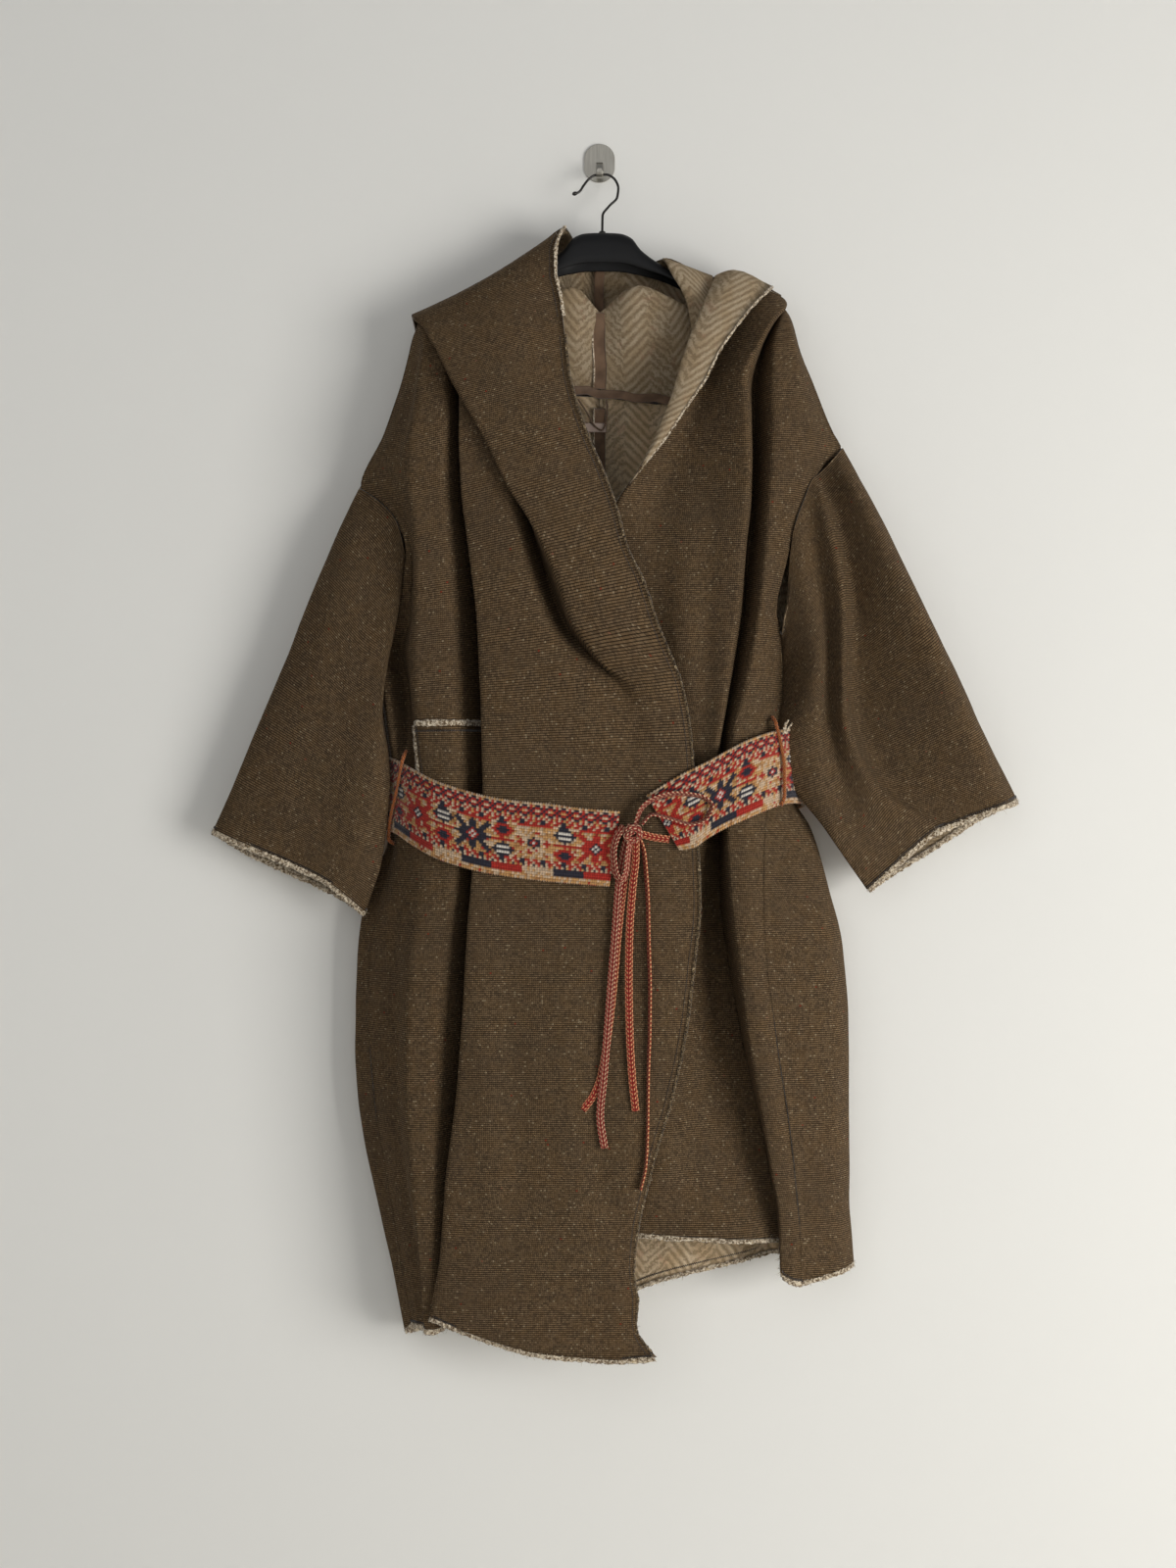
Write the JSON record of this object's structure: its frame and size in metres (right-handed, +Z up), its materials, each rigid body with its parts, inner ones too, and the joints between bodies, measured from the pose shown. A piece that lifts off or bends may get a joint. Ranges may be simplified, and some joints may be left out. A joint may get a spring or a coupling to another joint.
{
  "type": "hooded coat on a hanger and wall hook",
  "caption": "Long wrap coat with a hood, wide sleeves and a tied patterned belt, hung on a plastic hanger from a small steel wall hook.",
  "frame": {"origin": "centre of the wall hook plate's back face, on the wall", "axes": "+Z up, +Y into the wall, +X to the right of someone who faces the coat; the coat lies at -Y"},
  "size_m": [0.9612, 0.1565, 1.4496],
  "materials": {
    "coat_cloth": "olive brown ribbed face of a bonded double-faced cloth",
    "lining_side": "brushed beige herringbone back of the same cloth",
    "tape": "brown satin tape over seams",
    "label": "woven ribbon, bare",
    "belt_jacquard": "thick jacquard knit in red, cream and navy",
    "thread": "twisted thread",
    "braid": "flat woven braid",
    "hanger_plastic": "matte black",
    "hook_wire": "dark plated wire",
    "steel": "brushed"
  },
  "bodies": {
    "root": {"front_right": "coat_cloth", "front_left": "coat_cloth", "back_right": "coat_cloth", "back_left": "coat_cloth", "sleeve_right": "coat_cloth", "sleeve_left": "coat_cloth", "pocket": "coat_cloth", "hood_right_outer": "coat_cloth", "hood_left_outer": "coat_cloth", "hood_right_inner": "lining_side", "hood_left_inner": "lining_side", "hood_left_flap": "lining_side", "tape_hood": "tape", "tape_back": "tape", "tape_neck": "tape", "label": "label", "belt": "belt_jacquard", "belt_loop_right": "thread", "belt_loop_left": "thread", "hanging_loop": "thread", "tie_strand_right": "braid", "tie_strand_left": "braid", "tie_loop_bow": "braid", "tie_loop_small": "braid", "tie_tail_a": "braid", "tie_tail_b": "braid", "tie_tail_c": "braid", "tie_tail_d": "braid", "tie_knot": "braid", "hanger_bar": "hanger_plastic", "hanger_hook": "hook_wire", "wall_plate": "steel", "wall_tongue": "steel"}
  },
  "joints": []
}
